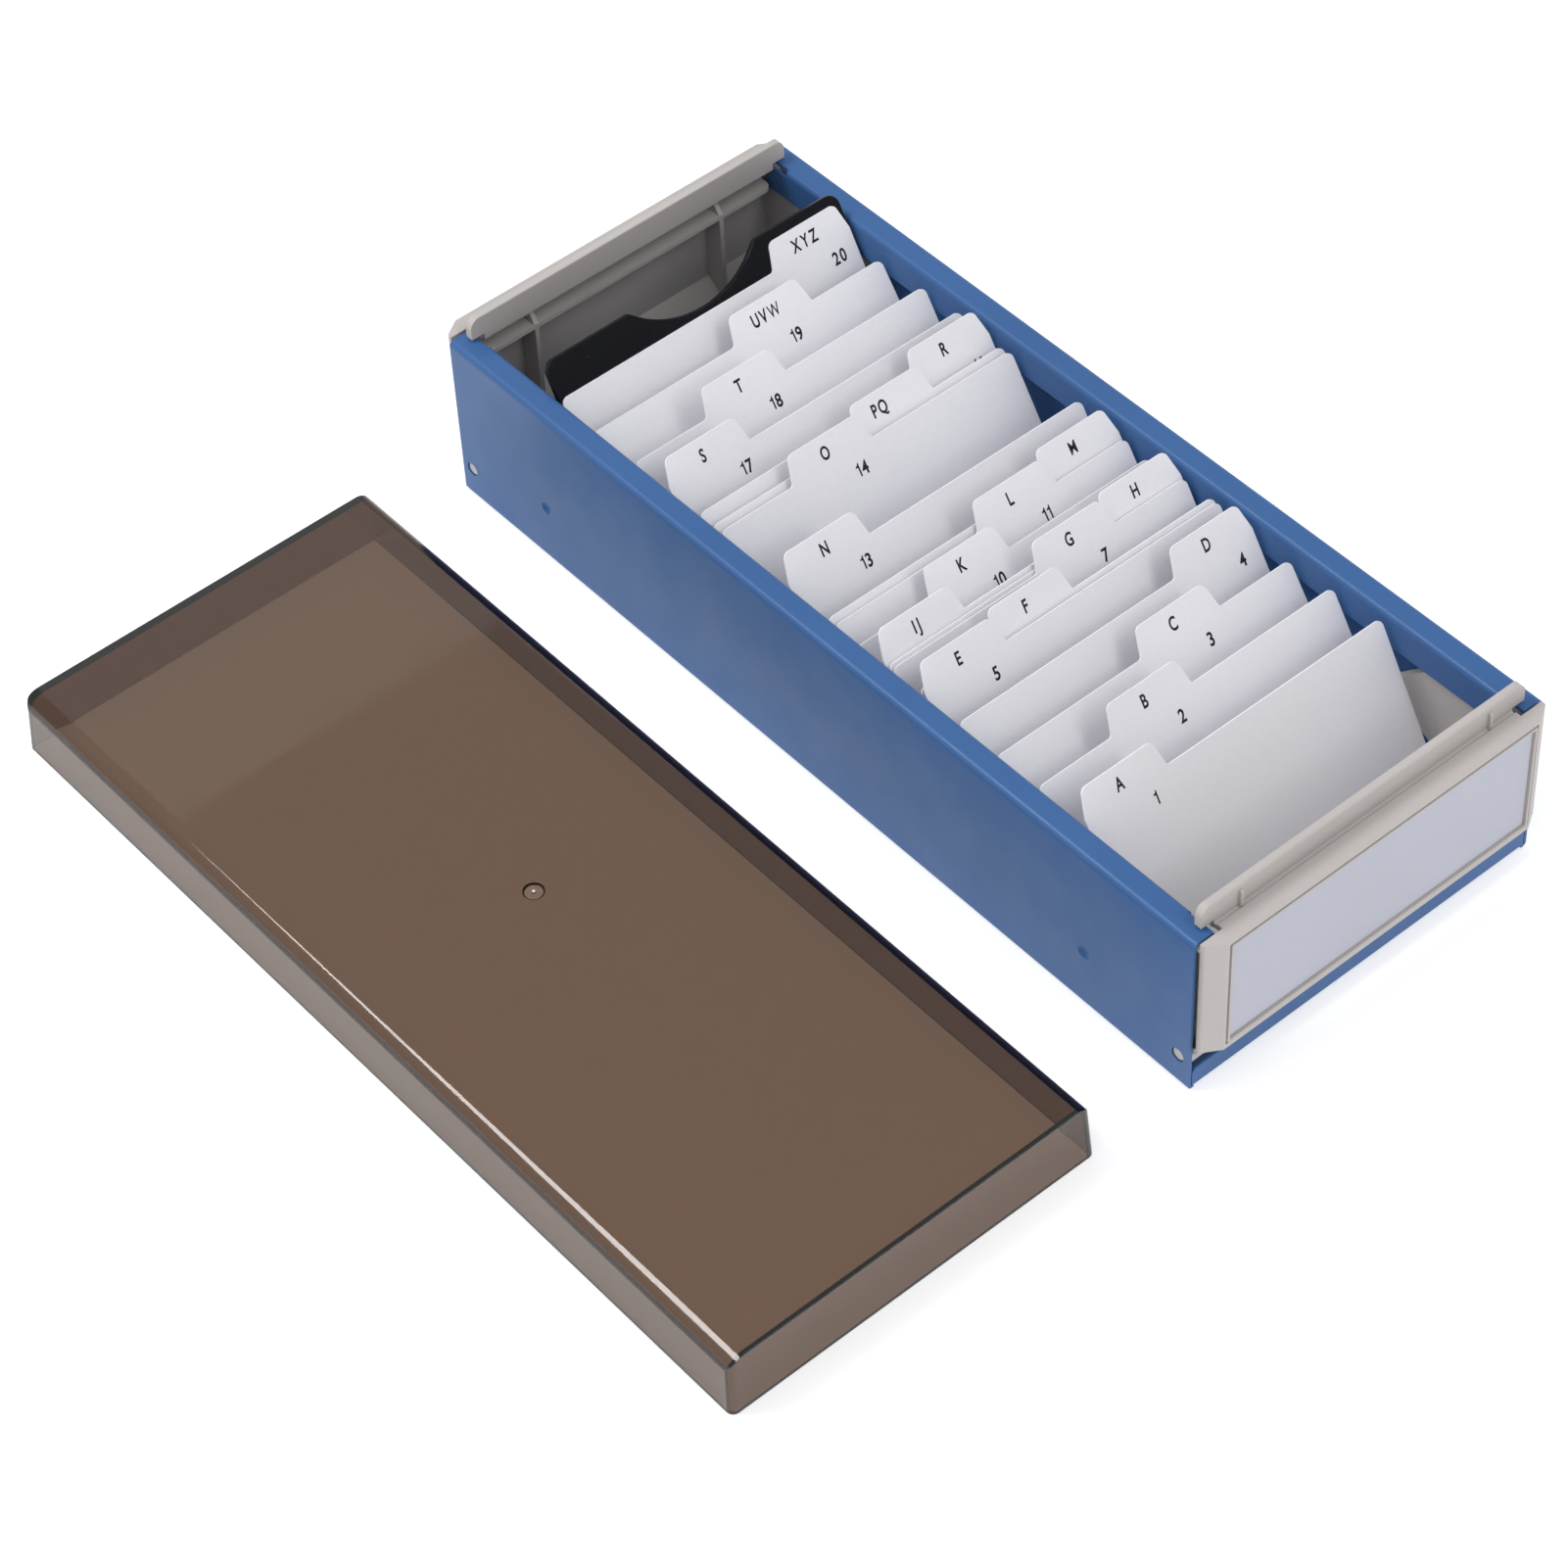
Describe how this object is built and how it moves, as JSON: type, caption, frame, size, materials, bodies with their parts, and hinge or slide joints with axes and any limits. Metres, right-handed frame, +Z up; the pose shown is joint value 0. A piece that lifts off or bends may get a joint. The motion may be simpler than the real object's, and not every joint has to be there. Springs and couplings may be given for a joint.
{
  "type": "business card index box",
  "caption": "Open painted steel tray with tilting moulded ends, lettered index dividers leaning on a sliding follower, and a smoke-coloured lid lying beside it.",
  "frame": {"origin": "middle of the tray's underside", "axes": "+Z up, +Y along the tray from the labelled end to the other end, +X across it to the right"},
  "size_m": [0.2504, 0.2824, 0.0587],
  "materials": {
    "painted_steel": "satin",
    "beige_moulding": "fine texture",
    "label_paper": "matte",
    "black_moulding": "gloss",
    "divider_board": "smooth",
    "smoke_moulding": "clear gloss"
  },
  "bodies": {
    "tray": {"tray": "painted_steel"},
    "front_end": {"front_plate": "beige_moulding", "front_label": "label_paper"},
    "rear_end": {"rear_plate": "beige_moulding"},
    "follower": {"follower": "black_moulding"},
    "card_a": {"divider_a": "divider_board"},
    "card_b": {"divider_b": "divider_board"},
    "card_c": {"divider_c": "divider_board"},
    "card_d": {"divider_d": "divider_board"},
    "card_e": {"divider_e": "divider_board"},
    "card_f": {"divider_f": "divider_board"},
    "card_g": {"divider_g": "divider_board"},
    "card_h": {"divider_h": "divider_board"},
    "card_ij": {"divider_ij": "divider_board"},
    "card_k": {"divider_k": "divider_board"},
    "card_l": {"divider_l": "divider_board"},
    "card_m": {"divider_m": "divider_board"},
    "card_n": {"divider_n": "divider_board"},
    "card_o": {"divider_o": "divider_board"},
    "card_pq": {"divider_pq": "divider_board"},
    "card_r": {"divider_r": "divider_board"},
    "card_s": {"divider_s": "divider_board"},
    "card_t": {"divider_t": "divider_board"},
    "card_uvw": {"divider_uvw": "divider_board"},
    "card_xyz": {"divider_xyz": "divider_board"},
    "lid": {"lid": "smoke_moulding"}
  },
  "joints": [
    {"name": "front_tilt", "type": "hinge", "parent": "tray", "child": "front_end", "pos_m": [0, -0.1321, 0.0095], "axis": [1, 0, 0], "range_deg": [0, 45]},
    {"name": "rear_tilt", "type": "hinge", "parent": "tray", "child": "rear_end", "pos_m": [0, 0.1321, 0.0095], "axis": [-1, 0, 0], "range_deg": [0, 45]},
    {"name": "follower_slide", "type": "slide", "parent": "tray", "child": "follower", "axis": [0, 1, 0], "range_m": [0, 0.018]},
    {"name": "lift_a", "type": "slide", "parent": "tray", "child": "card_a", "axis": [0, 0.5, 0.866], "range_m": [0, 0.06]},
    {"name": "lift_b", "type": "slide", "parent": "tray", "child": "card_b", "axis": [0, 0.5446, 0.8387], "range_m": [0, 0.06]},
    {"name": "lift_c", "type": "slide", "parent": "tray", "child": "card_c", "axis": [0, 0.5807, 0.8141], "range_m": [0, 0.06]},
    {"name": "lift_d", "type": "slide", "parent": "tray", "child": "card_d", "axis": [0, 0.5446, 0.8387], "range_m": [0, 0.06]},
    {"name": "lift_e", "type": "slide", "parent": "tray", "child": "card_e", "axis": [0, 0.5225, 0.8526], "range_m": [0, 0.06]},
    {"name": "lift_f", "type": "slide", "parent": "tray", "child": "card_f", "axis": [0, 0.5225, 0.8526], "range_m": [0, 0.06]},
    {"name": "lift_g", "type": "slide", "parent": "tray", "child": "card_g", "axis": [0, 0.5373, 0.8434], "range_m": [0, 0.06]},
    {"name": "lift_h", "type": "slide", "parent": "tray", "child": "card_h", "axis": [0, 0.5373, 0.8434], "range_m": [0, 0.06]},
    {"name": "lift_ij", "type": "slide", "parent": "tray", "child": "card_ij", "axis": [0, 0.5299, 0.848], "range_m": [0, 0.06]},
    {"name": "lift_k", "type": "slide", "parent": "tray", "child": "card_k", "axis": [0, 0.5948, 0.8039], "range_m": [0, 0.06]},
    {"name": "lift_l", "type": "slide", "parent": "tray", "child": "card_l", "axis": [0, 0.5736, 0.8192], "range_m": [0, 0.06]},
    {"name": "lift_m", "type": "slide", "parent": "tray", "child": "card_m", "axis": [0, 0.5664, 0.8241], "range_m": [0, 0.06]},
    {"name": "lift_n", "type": "slide", "parent": "tray", "child": "card_n", "axis": [0, 0.5299, 0.848], "range_m": [0, 0.06]},
    {"name": "lift_o", "type": "slide", "parent": "tray", "child": "card_o", "axis": [0, 0.5519, 0.8339], "range_m": [0, 0.06]},
    {"name": "lift_pq", "type": "slide", "parent": "tray", "child": "card_pq", "axis": [0, 0.5664, 0.8241], "range_m": [0, 0.06]},
    {"name": "lift_r", "type": "slide", "parent": "tray", "child": "card_r", "axis": [0, 0.5446, 0.8387], "range_m": [0, 0.06]},
    {"name": "lift_s", "type": "slide", "parent": "tray", "child": "card_s", "axis": [0, 0.5299, 0.848], "range_m": [0, 0.06]},
    {"name": "lift_t", "type": "slide", "parent": "tray", "child": "card_t", "axis": [0, 0.5519, 0.8339], "range_m": [0, 0.06]},
    {"name": "lift_uvw", "type": "slide", "parent": "tray", "child": "card_uvw", "axis": [0, 0.5948, 0.8039], "range_m": [0, 0.06]},
    {"name": "lift_xyz", "type": "slide", "parent": "tray", "child": "card_xyz", "axis": [0, 0.5075, 0.8616], "range_m": [0, 0.06]},
    {"name": "lid_lift", "type": "slide", "parent": "tray", "child": "lid", "axis": [0, 0, 1], "range_m": [0, 0.1]}
  ]
}
